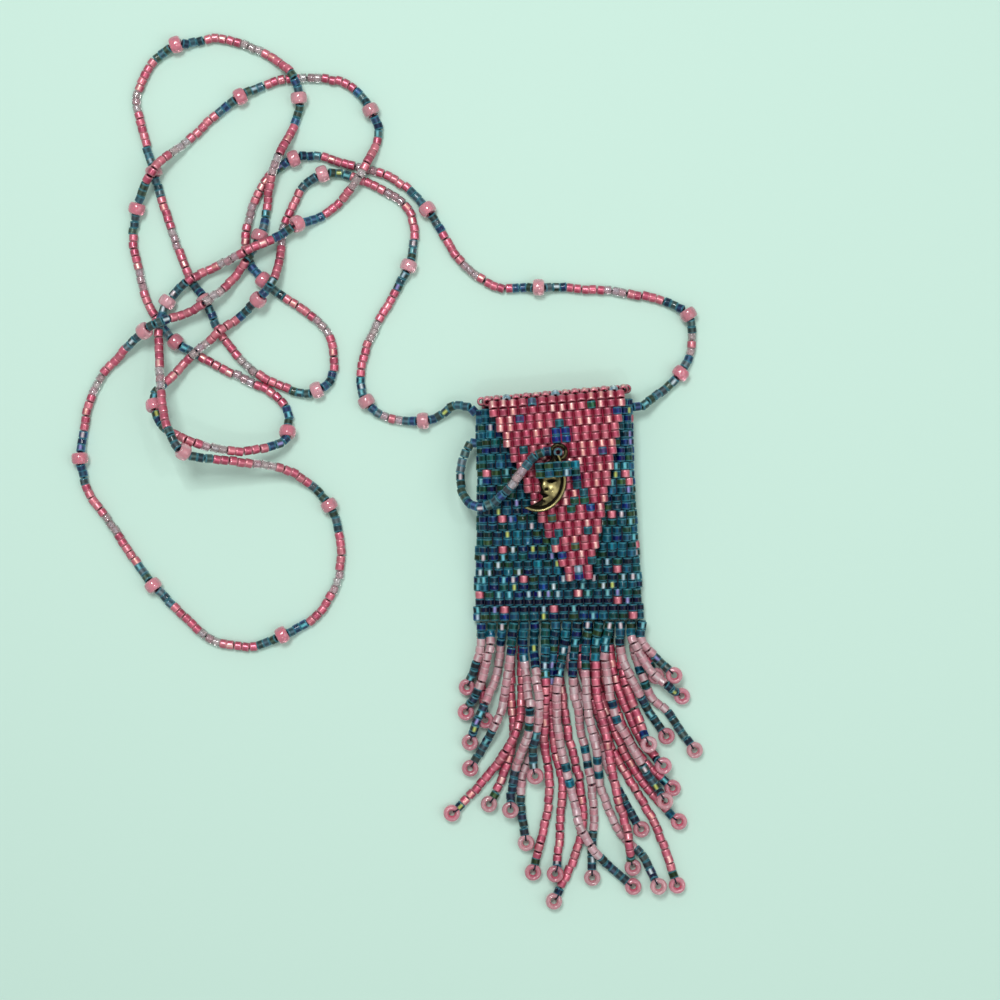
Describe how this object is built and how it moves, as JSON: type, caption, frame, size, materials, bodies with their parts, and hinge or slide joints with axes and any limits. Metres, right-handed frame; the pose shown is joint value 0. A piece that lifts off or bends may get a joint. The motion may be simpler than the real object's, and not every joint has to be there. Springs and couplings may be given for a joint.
{
  "type": "beaded medicine bag",
  "caption": "Small flat neck pouch woven of cylinder beads, with a pointed flap, a crescent moon charm as its toggle, a long beaded fringe and a beaded neck strand; it lies on its back.",
  "frame": {"origin": "on the pouch's back face, in the middle of its width and a little above the middle of its height, where it rests on the table", "axes": "+X to the bag's right as its front is seen, +Y up the bag towards its fold, +Z out of its front"},
  "size_m": [0.1093, 0.1531, 0.0132],
  "materials": {
    "teal_glass_beads": "transparent teal, blue and green lined cylinder beads with a rainbow lustre",
    "rose_glass_beads": "opaque rose cylinder beads with a satin silk lustre",
    "strung_glass_beads": "strung rose, clear pink and teal beads with milky pink round ones",
    "aged_brass": "cast, dark in its hollows and worn bright on its high places"
  },
  "bodies": {
    "root": {"charm_keeper": "teal_glass_beads", "charm_leash": "teal_glass_beads", "flap": "rose_glass_beads", "fringe_back_01": "strung_glass_beads", "fringe_back_04": "strung_glass_beads", "fringe_back_05": "strung_glass_beads", "fringe_back_07": "strung_glass_beads", "fringe_back_08": "strung_glass_beads", "fringe_back_09": "strung_glass_beads", "fringe_back_10": "strung_glass_beads", "fringe_back_11": "strung_glass_beads", "fringe_back_12": "strung_glass_beads", "fringe_back_13": "strung_glass_beads", "fringe_back_14": "strung_glass_beads", "fringe_back_15": "strung_glass_beads", "fringe_back_16": "strung_glass_beads", "fringe_front_01": "strung_glass_beads", "fringe_front_02": "strung_glass_beads", "fringe_front_03": "strung_glass_beads", "fringe_front_04": "strung_glass_beads", "fringe_front_05": "strung_glass_beads", "fringe_front_06": "strung_glass_beads", "fringe_front_07": "strung_glass_beads", "fringe_front_08": "strung_glass_beads", "fringe_front_09": "strung_glass_beads", "fringe_front_10": "strung_glass_beads", "fringe_front_11": "strung_glass_beads", "fringe_front_12": "strung_glass_beads", "fringe_front_13": "strung_glass_beads", "fringe_front_14": "strung_glass_beads", "fringe_front_15": "strung_glass_beads", "fringe_front_16": "strung_glass_beads", "moon_charm": "aged_brass", "necklace_strand": "strung_glass_beads", "pouch_body": "teal_glass_beads"}
  },
  "joints": []
}
